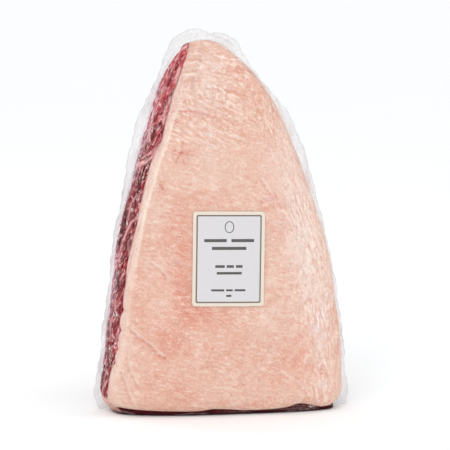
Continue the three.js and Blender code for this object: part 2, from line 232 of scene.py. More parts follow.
def smooth(x, low, high):
    t = np.clip((x - low) / (high - low), 0, 1)
    return t * t * (3 - 2 * t)


def from_line(x, z, points):
    """Distance of every place from a line through the points."""
    best = np.full(np.shape(x), 1e9)
    for (x0, z0), (x1, z1) in zip(points[:-1], points[1:]):
        long = (x1 - x0) ** 2 + (z1 - z0) ** 2
        t = np.clip(((x - x0) * (x1 - x0) + (z - z0) * (z1 - z0)) / long, 0, 1)
        best = np.minimum(best, np.hypot(x - x0 - t * (x1 - x0), z - z0 - t * (z1 - z0)))
    return best


def patches(x, z, spots):
    """Soft round fields, each from 0 to its amount."""
    total = np.zeros(np.shape(x))
    for px, pz, rx, rz, amount in spots:
        total += amount * np.exp(-((x - px) / rx) ** 2 - ((z - pz) / rz) ** 2)
    return np.clip(total, 0, 1)


def cloud(points, scale, octaves=2, seed=0.0):
    """Smooth noise about 0 at places in millimetres; scale is the size of its features."""
    step = 1.0 / np.broadcast_to(np.asarray(scale, float), (3,))
    aside = Vector((seed, 0, 0))
    return np.array([noise.fractal(Vector(p * step) + aside, 1.0, 2.0, octaves) for p in points])


def wall_lines(b, z, marks):
    """Lines on the cut side of the lean, each from 0 to its strength."""
    total = np.zeros(np.shape(z))
    for points, strength, half in marks:
        away = from_line(b * WALL, z, [(share * WALL, height) for height, share in points])
        total = np.maximum(total, strength * np.exp(-(away / half) ** 2))
    return total


def crease_depth(x, z):
    total = np.zeros(np.shape(x))
    for x0, z0, x1, z1, deep in CREASES:
        total += deep * np.exp(-(from_line(x, z, ((x0, z0), (x1, z1))) / CREASE_HALF) ** 2)
    for kx, kz, reach, proud in KNOTS:
        total -= proud * np.exp(-((x - kx) ** 2 + (z - kz) ** 2) / reach ** 2)
    return total


def row_share(t):
    return 0.55 * t + 0.225 * (1 - np.cos(math.pi * t))


def crown_share(s):
    low = 1 - (1 - CROWN_LEFT) * ((CROWN_AT - s) / CROWN_AT) ** 2
    return np.where(s < CROWN_AT, low, 1 - ((s - CROWN_AT) / (1 - CROWN_AT)) ** 2)


def lines(t):
    level = SHOULDER * row_share(t)
    rise = CROWN * smooth(t, 0.5, 1) ** 2
    high = level + rise * CROWN_LEFT
    return level, rise, high, CUT_LINE(high), LEAN_LINE(high), RIGHT_LINE(level), CUT_WIDTH(high)


def face(u, t, relief=1.0):
    """A point of the fat face: u from -1 at the left crest to 1 round the right side, t upwards."""
    level, rise, high, cut, lean, right, width = lines(t)
    crest = cut + width
    ridge = crest + (right - crest) * DOME_AT
    angle = np.maximum(u, 0) * math.pi / 2
    power = 2 / SIDE_FULLNESS(level)
    across = np.sin(angle) ** power
    fullness = np.maximum(np.cos(angle), 0) ** power
    x = np.where(u < 0, ridge - (crest - ridge) * u, ridge + (right - ridge) * across)
    tip = crown_share((x - cut) / (right - cut))
    foot = LOWER_EDGE(x) * np.exp(-level / 18)
    z = level + foot + rise * tip
    below = np.clip((SHOULDER + CROWN * tip - z) / TIP_ROLL, 0, 1)
    tip_roll = np.sqrt(1 - (1 - below) ** 2)
    left = np.where(u < 0, LEFT_FALL(level) * np.abs(u) ** 2.4 + 1.6 * np.abs(u) ** 16, 0)
    foot_roll = 3.5 * np.exp(-(z - foot) / 4.5)
    deep = (FACE_DEPTH(z) * fullness - left - foot_roll * fullness) * tip_roll
    wrap = SIDE_WRAP * smooth(u, 0.8, 1) * tip_roll + TIP_WRAP * (1 - tip_roll)
    creased = relief * crease_depth(x, z) * tip_roll * fullness
    return np.stack((x, wrap - deep + creased, z), -1)


def inward(u, t):
    """The direction from the fat face into the meat."""
    step = 0.01
    nu = np.clip(u, step - 1, 0.96)
    nt = np.clip(t, step, 0.98)
    du = face(nu + step, nt, 0) - face(nu - step, nt, 0)
    dt = face(nu, nt + step, 0) - face(nu, nt - step, 0)
    way = np.cross(dt, du)
    return way / np.linalg.norm(way, axis=-1, keepdims=True)


def inner(u, t, clearance=0.0):
    """The inner side of the fat, or the front of the lean with its clearance."""
    extra = clearance * (1 + 3 * smooth(u, 0.6, 1) * smooth(t, 0.8, 1))
    thick = FAT * (1 - 0.6 * smooth(u, 0.6, 1)) * (1 - 0.55 * smooth(t, 0.8, 1))
    plain = inward(u, t) * (thick + extra)[:, None]
    level, rise, high, edge, lean, right, width = lines(t)
    slump = level + rise * crown_share(width / (right - edge)) - high
    cut = np.stack((-width, CUT_DEPTH * (1 - 0.5 * smooth(t, 0.85, 1)) + extra, -slump), -1)
    share = (1 - smooth(u, -1, -0.8))[:, None]
    return face(u, t, 0) + plain + (cut - plain) * share


def back(u, t):
    """The back of the lean."""
    level, rise, high, cut, lean, right, width = lines(t)
    a = (u + 1) / 2
    left = lean + BACK_CORNER
    x = left + (right - BACK_RIGHT * (1 - 0.6 * t) - left) * a
    z = (level + rise * crown_share(a)) * (1 - 0.025 * t ** 6)
    edge = np.abs(u) ** 5
    lobes = 1.3 * np.sin(x / 13 + z / 55) * np.cos(z / 37 + 0.6) + 0.6 * np.sin(z / 12 - x / 30)
    y = BACK_DEPTH(z) * (1 - 0.12 * edge) * (1 - 0.3 * t ** 8) + lobes * (1 - edge) - 2.5 * np.exp(-z / 5)
    return np.stack((x, y, z), -1)


def on_face(x, z, out):
    """The place on the fat face at x, z, moved out from it by that much."""
    def hit(low, high, f):
        low = np.full(x.shape, low)
        high = np.full(x.shape, high)
        for _ in range(24):
            mid = (low + high) / 2
            over = f(mid) > 0
            high = np.where(over, mid, high)
            low = np.where(over, low, mid)
        return (low + high) / 2

    u = np.zeros(x.shape)
    for _ in range(4):
        t = hit(0.05, 0.95, lambda v: face(u, v)[:, 2] - z)
        u = hit(-1.0, 1.0, lambda v: face(v, t)[:, 0] - x)
    return np.stack((x, face(u, t)[:, 1] - out, z), -1)


# ---- shapes
def box_grid(nx, ny, nz):
    """A closed box of small faces, one unit each way, its lowest corner at the origin."""
    bm = bmesh.new()
    bmesh.ops.create_cube(bm, size=1.0)
    bmesh.ops.translate(bm, verts=bm.verts, vec=(0.5, 0.5, 0.5))
    for axis, steps in enumerate((nx, ny, nz)):
        if steps > 1:
            along = [e for e in bm.edges if abs(e.verts[0].co[axis] - e.verts[1].co[axis]) > 1e-4]
            bmesh.ops.subdivide_edges(bm, edges=along, cuts=steps - 1, use_grid_fill=True)
    return bm


def places(bm):
    return np.array([v.co for v in bm.verts])


def move_to(bm, points):
    """Puts the vertices at these points, given in millimetres before the shift."""
    for v, p in zip(bm.verts, (points + SHIFT) * MM):
        v.co = p


def finish_piece(bm, name, materials, fields=None, node=None):
    """Makes the object, its materials and the fields that its materials read."""
    bmesh.ops.recalc_face_normals(bm, faces=bm.faces)
    mesh = bpy.data.meshes.new(name)
    bm.to_mesh(mesh)
    bm.free()
    mesh.shade_smooth()
    for material in materials:
        mesh.materials.append(material)
    for field, values in (fields or {}).items():
        mesh.attributes.new(field, "FLOAT", "POINT").data.foreach_set("value", values.astype(np.float32))
    piece = bpy.data.objects.new(name, mesh)
    bpy.context.scene.collection.objects.link(piece)
    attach(piece, "root")
    if node:
        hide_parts(node)
    return piece


# ---- finishes
# Some of these colours paint light and shade: the crest colour is a painted highlight, the pinch, wrinkle,
# streak and stroke colours paint highlights and shade, the crisp light colour paints sparkles, and the vein
# colour also paints the shade of creases.
TONES = {
    "fat shade": (219, 170, 149), "fat mottle": (231, 204, 188), "fat blush": (215, 141, 118),
    "fat washed": (231, 212, 201), "thread": (209, 140, 118), "wrinkle highlight": (240, 220, 206),
    "wrinkle shade": (211, 152, 130), "streak highlight": (250, 229, 215), "streak shade": (205, 139, 118),
    "red line": (207, 118, 99), "light line": (242, 224, 211), "pinch_highlight": (244, 228, 215),
    "crest": (247, 233, 218), "cut dark": (214, 168, 156), "cut light": (233, 206, 195),
    "vein_and_crease_shade": (194, 98, 80), "grain light": (240, 220, 207), "grain dark": (205, 144, 123),
    "speck": (198, 122, 104), "lean deep": (92, 16, 25), "fibre light": (188, 58, 68),
    "fibre dark": (84, 12, 20), "lean lit": (222, 92, 98), "stroke shade": (74, 10, 18),
    "lean shade": (62, 26, 30), "stroke highlight": (214, 112, 118), "crisp dark": (64, 8, 15),
    "crisp highlight": (246, 202, 200), "tissue": (238, 184, 182), "silver dark": (158, 78, 88),
    "silver light": (208, 150, 154), "fleck": (226, 176, 170), "rind dark": (214, 160, 142),
    "rind light": (236, 206, 190), "film rim": (198, 202, 204), "film veil": (255, 222, 235),
    "clinging film": (252, 242, 237), "pressed film": (237, 236, 237), "label border": (224, 212, 198),
    "label line": (112, 104, 90), "label field": (210, 208, 210), "label ink": (84, 80, 78),
}


def linear(rgb):
    """A colour of 0 to 255 as the renderer takes it."""
    shares = [v / 255 for v in rgb]
    return tuple(c / 12.92 if c <= 0.04045 else ((c + 0.055) / 1.055) ** 2.4 for c in shares) + (1.0,)


def tone(name):
    return linear(TONES[name])


PAPER_GRAIN = 0.05


class Nodes:
    """A small helper that adds nodes to a material and joins them."""

    def __init__(self, name):
        self.material = bpy.data.materials.new(name)
        self.material.use_nodes = True
        self.tree = self.material.node_tree
        self.tree.nodes.clear()
        self.out = self.tree.nodes.new("ShaderNodeOutputMaterial")

    def add(self, kind, settings=None, **sockets):
        node = self.tree.nodes.new(kind)
        for key, value in (settings or {}).items():
            setattr(node, key, value)
        for key, value in sockets.items():
            self.set(node, key.replace("_", " "), value)
        return node

    def set(self, node, key, value):
        socket = node.inputs[int(key[1:])] if key[0] == "#" else node.inputs[key]
        if isinstance(value, bpy.types.NodeSocket):
            self.tree.links.new(value, socket)
        else:
            socket.default_value = value

    def place(self, scale=(1, 1, 1), turn=(0, 0, 0)):
        """Object coordinates in metres; a small scale draws a pattern out that way, and turn slants it."""
        at = self.add("ShaderNodeTexCoord").outputs["Object"]
        size = tuple(1 / share for share in scale)
        node = self.add("ShaderNodeMapping", {"vector_type": "TEXTURE"}, Vector=at, Scale=size, Rotation=turn)
        return node.outputs["Vector"]

    def noise(self, at, scale, detail=3.0, rough=0.55, warp=0.0):
        settings = {"Scale": scale, "Detail": detail, "Roughness": rough, "Distortion": warp}
        return self.add("ShaderNodeTexNoise", Vector=at, **settings).outputs["Fac"]

    def bend(self, at, scale, reach):
        """The places pushed about by noise, in metres."""
        push = self.add("ShaderNodeTexNoise", Vector=at, Scale=scale, Detail=2.0).outputs["Color"]
        push = self.vectors("SUBTRACT", push, (0.5, 0.5, 0.5))
        longer = self.add("ShaderNodeVectorMath", {"operation": "SCALE"}, **{"#0": push, "Scale": reach})
        return self.vectors("ADD", at, longer.outputs[0])

    def vectors(self, how, a, b):
        return self.add("ShaderNodeVectorMath", {"operation": how}, **{"#0": a, "#1": b}).outputs[0]

    def field(self, name):
        return self.add("ShaderNodeAttribute", {"attribute_name": name}).outputs["Fac"]

    def math(self, how, a, b=0.0):
        node = self.add("ShaderNodeMath", {"operation": how})
        self.set(node, "#0", a)
        self.set(node, "#1", b)
        return node.outputs[0]

    def times(self, a, b):
        return self.math("MULTIPLY", a, b)

    def spread(self, value, low, high, to_low=0.0, to_high=1.0):
        node = self.add("ShaderNodeMapRange", {"interpolation_type": "SMOOTHSTEP"}, Value=value)
        for key, number in zip(("From Min", "From Max", "To Min", "To Max"), (low, high, to_low, to_high)):
            node.inputs[key].default_value = number
        return node.outputs["Result"]

    def mix(self, share, a, b):
        node = self.add("ShaderNodeMix", {"data_type": "RGBA"})
        self.set(node, "#0", share)
        self.set(node, "#6", a)
        self.set(node, "#7", b)
        return node.outputs[2]

    def tint(self, colour, share, name):
        return self.mix(share, colour, tone(name))

    def vector(self, x, y):
        return self.add("ShaderNodeCombineXYZ", X=x, Y=y).outputs["Vector"]

    def bump(self, height, strength, distance, normal=None):
        node = self.add("ShaderNodeBump", Height=height, Strength=strength, Distance=distance)
        if normal is not None:
            self.set(node, "Normal", normal)
        return node.outputs["Normal"]

    def close(self, shader):
        self.tree.links.new(shader, self.out.inputs["Surface"])
        return self.material


def fat_finish(look):
    n = Nodes("raw fat")
    at = n.place()
    bent = n.bend(at, 60, 0.007)

    def fine_lines(scale, stretch, turn, width, where):
        """Thin wandering lines, here and there."""
        wander = n.noise(n.place(stretch, turn), scale, 4, 0.6, 0.7)
        off = n.math("ABSOLUTE", n.math("SUBTRACT", wander, 0.5))
        near = n.spread(off, 0.0, width, 1.0, 0.0)
        return n.times(near, n.spread(n.noise(at, where, 2), 0.45, 0.62))

    base = linear(look.fat_colour_255)
    colour = n.mix(n.spread(n.noise(at, 34, 4, 0.6, 0.4), 0.34, 0.66), tone("fat shade"), base)
    mottle = n.spread(n.noise(at, 130, 5, 0.66), 0.42, 0.66)
    colour = n.tint(colour, n.times(mottle, 0.45), "fat mottle")
    blush = n.times(n.field("blush"), n.spread(n.noise(at, 110, 5, 0.68, 0.6), 0.28, 0.62, 0.3, 1.0))
    colour = n.tint(colour, blush, "fat blush")
    paleness = n.times(n.field("pale"), n.spread(n.noise(at, 85, 4, 0.6), 0.3, 0.65, 0.4, 1.0))
    colour = n.tint(colour, paleness, "fat washed")
    # a net of pink threads, then the fine wrinkles, level on the left and along the side on the right,
    # lightened on their ridges as painted highlight and darkened in their hollows as painted shade
    wound = n.bend(bent, 210, 0.0035)
    cells = n.add("ShaderNodeTexVoronoi", {"feature": "DISTANCE_TO_EDGE"}, Vector=wound, Scale=145)
    net = cells.outputs["Distance"]
    threads = n.spread(net, 0.0, 0.07, 1.0, 0.0)
    somewhere = n.spread(n.noise(at, 52, 3), 0.42, 0.6)
    colour = n.tint(colour, n.times(n.times(threads, somewhere), 0.4), "thread")
    level = n.noise(n.bend(n.place((0.5, 1, 1.7), (0, 0.12, 0)), 60, 0.006), 260, 5, 0.66)
    flank = n.vector(n.field("across"), n.field("along"))
    along = n.noise(n.bend(flank, 50, 0.003), 330, 4, 0.62)
    sloping = n.vector(n.field("slope along"), n.field("slope over"))
    sloping = n.bend(n.bend(sloping, 40, 0.008), 130, 0.004)
    tip = n.noise(sloping, 300, 4, 0.62)
    wrinkle = n.mix(n.field("tip"), n.mix(n.field("flank"), level, along), tip)
    colour = n.tint(colour, n.spread(wrinkle, 0.52, 0.7, 0.0, 0.6), "wrinkle highlight")
    colour = n.tint(colour, n.spread(wrinkle, 0.47, 0.32, 0.0, 0.5), "wrinkle shade")
    # fine streaks, lighter as painted highlight and darker as painted shade, following the same pattern as
    # their bump
    flank_streak = n.noise(n.bend(flank, 60, 0.003), 620, 4, 0.6)
    streak = n.mix(n.field("flank"), n.noise(sloping, 640, 4, 0.6), flank_streak)
    here = n.times(n.field("busy"), n.spread(n.noise(at, 48, 3), 0.4, 0.6, 0.4, 1.0))
    colour = n.tint(colour, n.times(here, n.spread(streak, 0.515, 0.61, 0.0, 0.95)), "streak highlight")
    colour = n.tint(colour, n.times(here, n.spread(streak, 0.475, 0.38, 0.0, 0.75)), "streak shade")
    red_lines = fine_lines(110, (0.8, 1, 1.3), (0, -0.5, 0), 0.013, 45)
    colour = n.tint(colour, n.times(red_lines, 0.6), "red line")
    light_lines = fine_lines(70, (0.7, 1, 1.7), (0, 0.4, 0), 0.01, 60)
    colour = n.tint(colour, n.times(light_lines, 0.5), "light line")
    # painted highlight beside the pinches
    colour = n.tint(colour, n.field("pinch_highlight"), "pinch_highlight")
    # painted highlight along the crest
    crest = n.times(n.field("crest"), n.spread(n.noise(at, 210, 4, 0.7), 0.3, 0.6, 0.45, 0.95))
    colour = n.tint(colour, crest, "crest")
    cut = n.spread(n.noise(n.place((1, 1, 0.2)), 420, 3, 0.6), 0.35, 0.65)
    colour = n.mix(n.field("cut"), colour, n.mix(cut, tone("cut dark"), tone("cut light")))
    # the red threads, which also carry the painted shade in and below the pinches
    vein_and_crease_shade = n.times(n.field("vein_and_crease_shade"), n.spread(n.noise(at, 420, 3, 0.6), 0.3, 0.6, 0.2, 1.0))
    colour = n.tint(colour, vein_and_crease_shade, "vein_and_crease_shade")
    grain = n.noise(at, 620, 4, 0.62)
    coarse = n.spread(n.field("busy"), 0.3, 1.0, 0.55, 1.0)
    light_grain = n.times(coarse, n.spread(grain, 0.54, 0.67, 0.0, 0.62))
    dark_grain = n.times(coarse, n.spread(grain, 0.46, 0.33, 0.0, 0.6))
    colour = n.tint(colour, light_grain, "grain light")
    colour = n.tint(colour, dark_grain, "grain dark")
    speck = n.spread(n.noise(at, 900, 2, 0.5), 0.68, 0.77, 0.0, 0.3)
    colour = n.tint(colour, speck, "speck")
    lumps = n.noise(at, 90, 4, 0.55)
    normal = n.bump(lumps, 0.55, 0.0013)
    normal = n.bump(wrinkle, 0.6, 0.0012, normal)
    normal = n.bump(net, 0.2, 0.0006, normal)
    normal = n.bump(streak, n.times(here, 0.5), 0.0005, normal)
    normal = n.bump(grain, 0.4, 0.00035, normal)
    rough = n.spread(n.noise(at, 160, 3), 0.3, 0.7, 0.38, 0.55)
    skin = n.add("ShaderNodeBsdfPrincipled", **{"Base_Color": colour, "Roughness": rough, "Normal": normal})
    n.set(skin, "Coat Weight", 0.1)
    n.set(skin, "Coat Roughness", 0.25)
    n.set(skin, "Specular IOR Level", 0.3)
    return n.close(skin.outputs["BSDF"])


def lean_finish(look):
    n = Nodes("raw lean")
    at = n.place()
    wall = n.field("wall")
    fibre = n.noise(n.place((1, 1, 0.12), (0.12, 0.16, 0.0)), 640, 4, 0.68, 0.3)
    bundle = n.noise(n.place((1, 1, 0.3), (0.2, 0.16, 0.0)), 150, 4, 0.62, 0.8)
    strokes = n.noise(n.bend(n.place((1, 1, 0.2), (0.4, 0.22, 0.0)), 90, 0.004), 400, 3, 0.6, 0.5)
    crisp = n.noise(n.bend(n.place((1, 1, 0.28), (0.4, 0.22, 0.0)), 120, 0.004), 660, 3, 0.62, 0.6)
    busy = n.times(wall, n.spread(n.noise(at, 70, 2), 0.42, 0.56, 0.2, 1.0))
    busy = n.math("MAXIMUM", busy, n.field("lit"))

    def on_wall(value, low, high, most):
        return n.times(busy, n.spread(value, low, high, 0.0, most))

    base = linear(look.lean_colour_255)
    colour = n.mix(n.spread(bundle, 0.34, 0.6), tone("lean deep"), base)
    colour = n.tint(colour, n.spread(fibre, 0.5, 0.7, 0.0, 0.7), "fibre light")
    colour = n.tint(colour, n.spread(fibre, 0.46, 0.3, 0.0, 0.6), "fibre dark")
    colour = n.tint(colour, n.field("lit"), "lean lit")
    # on the cut side, dark strokes are painted shade in the valleys between the strands, and light strokes
    # and crisp light flecks are painted highlights and sparkles
    colour = n.tint(colour, on_wall(strokes, 0.43, 0.3, 0.85), "stroke shade")
    colour = n.tint(colour, n.field("shade"), "lean shade")
    colour = n.tint(colour, on_wall(strokes, 0.5, 0.63, 0.8), "stroke highlight")
    colour = n.tint(colour, on_wall(crisp, 0.44, 0.36, 0.85), "crisp dark")
    colour = n.tint(colour, on_wall(crisp, 0.545, 0.62, 0.85), "crisp highlight")
    tissue = n.times(n.field("tissue"), n.spread(n.noise(at, 300, 3, 0.6), 0.3, 0.55, 0.35, 1.0))
    colour = n.tint(colour, tissue, "tissue")
    # the back keeps parts of its silvery skin, with threads that run with the grain
    skin_parts = n.noise(n.place((1, 1, 0.6), (0, 0.2, 0)), 27, 5, 0.62, 0.4)
    silver = n.times(n.field("silver"), n.spread(skin_parts, 0.47, 0.6, 0.04, 0.62))
    threads = n.noise(n.place((1, 1, 0.07), (0, 0.16, 0)), 760, 3, 0.6)
    sheet = n.mix(n.spread(threads, 0.4, 0.6), tone("silver dark"), tone("silver light"))
    colour = n.mix(silver, colour, sheet)
    flecks = n.spread(n.noise(n.place((1, 1, 0.4), (0, 0.2, 0)), 190, 4, 0.7, 0.5), 0.66, 0.74, 0.0, 0.55)
    colour = n.tint(colour, n.times(flecks, n.field("silver")), "fleck")
    rind = n.mix(n.noise(at, 240, 4, 0.6), tone("rind dark"), tone("rind light"))
    colour = n.mix(n.field("rind"), colour, rind)
    height = n.times(bundle, n.spread(wall, 0.0, 1.0, 0.45, 1.0))
    normal = n.bump(height, 0.8, 0.0018)
    normal = n.bump(fibre, 0.45, 0.0005, normal)
    skin = n.add("ShaderNodeBsdfPrincipled", **{"Base_Color": colour, "Roughness": 0.36, "Normal": normal})
    n.set(skin, "Specular IOR Level", 0.06)
    return n.close(skin.outputs["BSDF"])


def film_finish(name, haze_low, haze_high, crinkle, fold):
    """Clear film: what lies behind shows through, under gloss and a white haze of fine wrinkles, which also
    carries painted sheen, sparkles and glints.
    """
    n = Nodes(name)
    at = n.place()
    wrinkle = n.noise(n.place((1, 1, 0.5), (0, 0.5, 0)), fold, 5, 0.7, 1.4)
    fine = n.noise(at, 460, 3, 0.6, 0.6)
    normal = n.bump(wrinkle, crinkle, 0.0022)
    normal = n.bump(fine, crinkle * 0.7, 0.0005, normal)
    clear = n.add("ShaderNodeBsdfTransparent", Color=(1, 1, 1, 1)).outputs[0]
    gloss = n.add("ShaderNodeBsdfGlossy", Color=(1, 1, 1, 1), Roughness=0.14, Normal=normal).outputs[0]
    toned = n.tint(tone(name), n.times(n.field("rim"), 0.6), "film rim")
    toned = n.tint(toned, n.field("veil"), "film veil")
    frost_and_sheen = n.add("ShaderNodeBsdfDiffuse", Color=toned, Normal=normal).outputs[0]
    streak = n.noise(n.place((1, 1, 0.35), (0, 0.35, 0)), fold * 2, 5, 0.7, 0.8)
    haze = n.times(n.field("haze"), n.spread(streak, 0.42, 0.64, haze_low, haze_high))
    # painted highlights drawn in the white of the film: flakes of sheen, short sparkling dashes and glints
    flank = n.vector(n.field("across"), n.field("along"))
    level = n.noise(n.bend(n.place((0.5, 1, 1.5), (0, 0.42, 0)), 80, 0.006), 330, 5, 0.7)
    flake = n.mix(n.field("flank"), level, n.noise(n.bend(flank, 50, 0.004), 300, 5, 0.7))
    sheen_flakes = n.times(n.field("frost_and_sheen"), n.spread(flake, 0.47, 0.66, 0.0, 0.85))
    dash = n.noise(n.place((1, 1, 0.5), (0.3, 0, 0)), 620, 3, 0.6, 1.5)
    sparkle_dashes = n.times(n.field("sparkle_dashes"), n.spread(dash, 0.57, 0.65, 0.0, 0.7))
    glint = n.times(n.field("glint"), n.spread(n.noise(at, 760, 3, 0.6, 0.6), 0.4, 0.56, 0.12, 1.0))
    amount = n.math("ADD", n.math("ADD", haze, sheen_flakes), n.math("ADD", sparkle_dashes, glint))
    amount = n.math("MINIMUM", amount, 0.92)
    body = n.add("ShaderNodeMixShader", Fac=amount)
    n.set(body, "#1", clear)
    n.set(body, "#2", frost_and_sheen)
    aslant = n.add("ShaderNodeLayerWeight", Blend=0.35, Normal=normal).outputs["Facing"]
    shine = n.times(n.spread(aslant, 0.2, 1.0, 0.012, 0.05), n.field("gloss"))
    both = n.add("ShaderNodeMixShader", Fac=shine)
    n.set(both, "#1", body.outputs[0])
    n.set(both, "#2", gloss)
    return n.close(both.outputs[0])


def paper_finish(name):
    """Smooth paper in the colour of that name, a little lighter and duller by its grain."""
    n = Nodes(name)
    grain = n.noise(n.place(), 1500, 3, 0.6)
    soft = tuple(c * (1 + PAPER_GRAIN) for c in tone(name)[:3]) + (1.0,)
    dull = tuple(c * (1 - PAPER_GRAIN) for c in tone(name)[:3]) + (1.0,)
    colour = n.mix(grain, dull, soft)
    normal = n.bump(grain, 0.1, 0.00005)
    skin = n.add("ShaderNodeBsdfPrincipled", **{"Base_Color": colour, "Roughness": 0.55, "Normal": normal})
    n.set(skin, "Coat Weight", 0.15)
    n.set(skin, "Coat Roughness", 0.3)
    return n.close(skin.outputs["BSDF"])


# ---- properties
class PicanhaLook(bpy.types.PropertyGroup):
    """Sizes and colours of the dressed piece."""

    fat_colour: bpy.props.FloatVectorProperty(
        name="Fat", description="Main colour of the fat", size=3, subtype="COLOR_GAMMA", min=0, max=1,
        default=(0.884, 0.722, 0.646))
    lean_colour: bpy.props.FloatVectorProperty(
        name="Lean", description="Main colour of the lean", size=3, subtype="COLOR_GAMMA", min=0, max=1,
        default=(0.530, 0.130, 0.170))
    film_gap: bpy.props.FloatProperty(
        name="Film gap", description="Clearance of the clinging film over the meat", default=0.00035,
        unit="LENGTH", min=0.0001, max=0.002)
    fat_relief: bpy.props.FloatProperty(
        name="Fat relief", description="Strength of the lumps and pinches of the fat", default=1.0,
        min=0, max=2, subtype="FACTOR")
    light: bpy.props.FloatProperty(
        name="Light", description="Brightness of all the lamps", default=1.0, min=0, max=4)

    @property
    def fat_colour_255(self):
        return tuple(255 * c for c in self.fat_colour)

    @property
    def lean_colour_255(self):
        return tuple(255 * c for c in self.lean_colour)


# ---- pieces
MEAT = {}  # the surfaces that the film clings to, by piece
FAT_GRID = (150, 4, 262)  # faces across, through and up
LEAN_GRID = (62, 68, 296)
FILM_GRID = (80, 64, 296)
MARGIN_GRID = (620, 2, 16)
NOTCHES = (75, 61, 47.5, 38)  # heights of the small notches in the cut edge of the fat


class PICANHA_OT_fat(bpy.types.Operator):
    """Make the fat layer, with its cut edge on the left"""

    bl_idname = "picanha.fat"
    bl_label = "Fat layer"

    def execute(self, context):
        look = context.scene.picanha
        bm = box_grid(*FAT_GRID)
        a, b, c = places(bm).T
        u = 2 * a - 1
        outer = face(u, c)
        way = inward(u, c)
        points = outer + (inner(u, c) - outer) * b[:, None]
        bow = np.sin(math.pi * b)
        points[:, 0] -= np.where(a < 1e-6, 0.9 * bow, 0)
        points[:, 2] -= np.where(c < 1e-6, 0.5 * bow, 0)
        x, z = outer[:, 0], outer[:, 2]
        lift = 0.34 * cloud(outer, 15, 3) + 0.13 * cloud(outer, (9, 9, 4), 2, 7.3)
        top = smooth(z, 168, 200) * (1 - smooth(z, 246, 258)) * np.exp(-((x + 4) / 26) ** 2)
        slope_along = x * math.cos(TIP_SLOPE) - z * math.sin(TIP_SLOPE)
        slope_over = x * math.sin(TIP_SLOPE) + z * math.cos(TIP_SLOPE)
        lift += 0.42 * top * cloud(np.stack((slope_along, slope_over, 0 * z), -1), (11, 2.6, 1), 2, 3.1)
        flank = smooth(u, 0.15, 0.5) * (1 - smooth(z, 215, 245))
        lift += 0.22 * flank * cloud(np.stack((70 * u, z, 0 * z), -1), (3, 16, 1), 2, 5.7)
        for points_of, deep, half in PINCHES:
            away = from_line(x, z, points_of)
            groove = np.exp(-(away / half) ** 2)
            lift -= 0.8 * deep * groove - 0.4 * deep * np.exp(-((away - 2.3 * half) / half) ** 2)
        edge = (1 - smooth(np.abs(u), 0.9, 1.0)) * smooth(c, 0, 0.03) * (1 - smooth(c, 0.96, 1))
        points -= way * (look.fat_relief * lift * edge * (1 - b) ** 2)[:, None]
        # the cut edge is a little uneven, with small notches low down
        side = np.where(u < -0.93, (-u - 0.93) / 0.07, 0)
        ripple = 0.45 * np.sin(z / 6.5 + 0.6) + 0.3 * np.sin(z / 3.1 + 2 * b)
        notch = sum(np.exp(-((z - at) / 2.2) ** 2) for at in NOTCHES)
        between = smooth(c, 0.01, 0.05) * (1 - smooth(c, 0.9, 1))
        points[:, 0] += side * b * (ripple * 0.6 + 1.3 * notch) * between
        # towards the tip the corner between the face and the cut edge is rounded off
        on_front = np.where(b < 1e-6, np.exp(-((u + 1) / 0.16) ** 2), 0)
        corner = np.where(a < 1e-6, np.exp(-(b / 0.35) ** 2), on_front)
        corner *= 1.3 * smooth(z, 205, 234) * (1 - smooth(c, 0.985, 1))
        points += corner[:, None] * np.array((0.75, 0.66, 0.0))
        move_to(bm, points)
        vein_and_crease_shade = np.zeros(len(x))
        for line_points, strength in VEINS:
            vein_and_crease_shade += 0.8 * strength * np.exp(-(from_line(x, z, line_points) / 0.65) ** 2)
        # beside each pinch a painted highlight runs just above and to the right, and painted shade lies in it
        # and just below to the left, carried with the red threads
        pinch_highlight = np.zeros(len(x))
        for points_of, deep, half in PINCHES:
            vein_and_crease_shade += 0.22 * deep * np.exp(-(from_line(x, z, points_of) / (half * 1.2)) ** 2)
            lit = from_line(x - 0.7, z - 0.9, points_of)
            broken = 0.75 + 0.25 * np.sin(x / 1.9 + z / 2.7)
            pinch_highlight = np.maximum(pinch_highlight, 1.1 * deep ** 0.6 * broken * np.exp(-(lit / 0.85) ** 2))
            dark = from_line(x + 0.6, z + 0.8, points_of)
            vein_and_crease_shade += 0.5 * deep * np.exp(-(dark / 0.75) ** 2)
        # a painted highlight along the rounded crest of the face, weaker low down and fading near the tip
        wide = 0.021 + 0.02 * (1 - smooth(z, 60, 130))
        crest = np.exp(-((u + 0.992) / wide) ** 2) * (1 - b) ** 2 * smooth(z, 4, 30)
        crest *= (0.32 + 0.68 * smooth(z, 70, 150)) * (1 - 0.8 * smooth(z, 208, 234))
        cut = np.clip(np.where(a < 1e-6, 0.2 + b, b * side), 0, 1) * (1 - 0.6 * smooth(z, 222, 244))
        near_tip = smooth(z, 165, 225) * (1 - 0.4 * smooth(z, 247, 258))
        busy = 0.3 + 0.7 * np.maximum(near_tip, 0.75 * smooth(u, 0.15, 0.5))
        fields = {
            "vein_and_crease_shade": np.clip(vein_and_crease_shade, 0, 0.85), "pinch_highlight": np.clip(pinch_highlight, 0, 0.9), "cut": cut,
            "blush": patches(x, z, BLUSH), "pale": patches(x, z, PALE), "crest": np.clip(crest, 0, 1),
            "across": 0.07 * u, "along": 0.25 * z * MM, "flank": flank, "busy": busy,
            "slope along": 0.34 * slope_along * MM, "slope over": slope_over * MM,
            "tip": smooth(z, 170, 205) * (1 - smooth(u, 0.3, 0.7)),
        }
        MEAT["fat"] = BVHTree.FromBMesh(bm)
        finish_piece(bm, "fat_layer", [fat_finish(look)], fields, "fat_cap")
        return {"FINISHED"}


def right_bow(bow, t):
    """How far the right side bulges between front and back, less towards the tip."""
    return np.sqrt(bow) * (1 - 0.5 * t) * (1 - smooth(t, 0.8, 1))


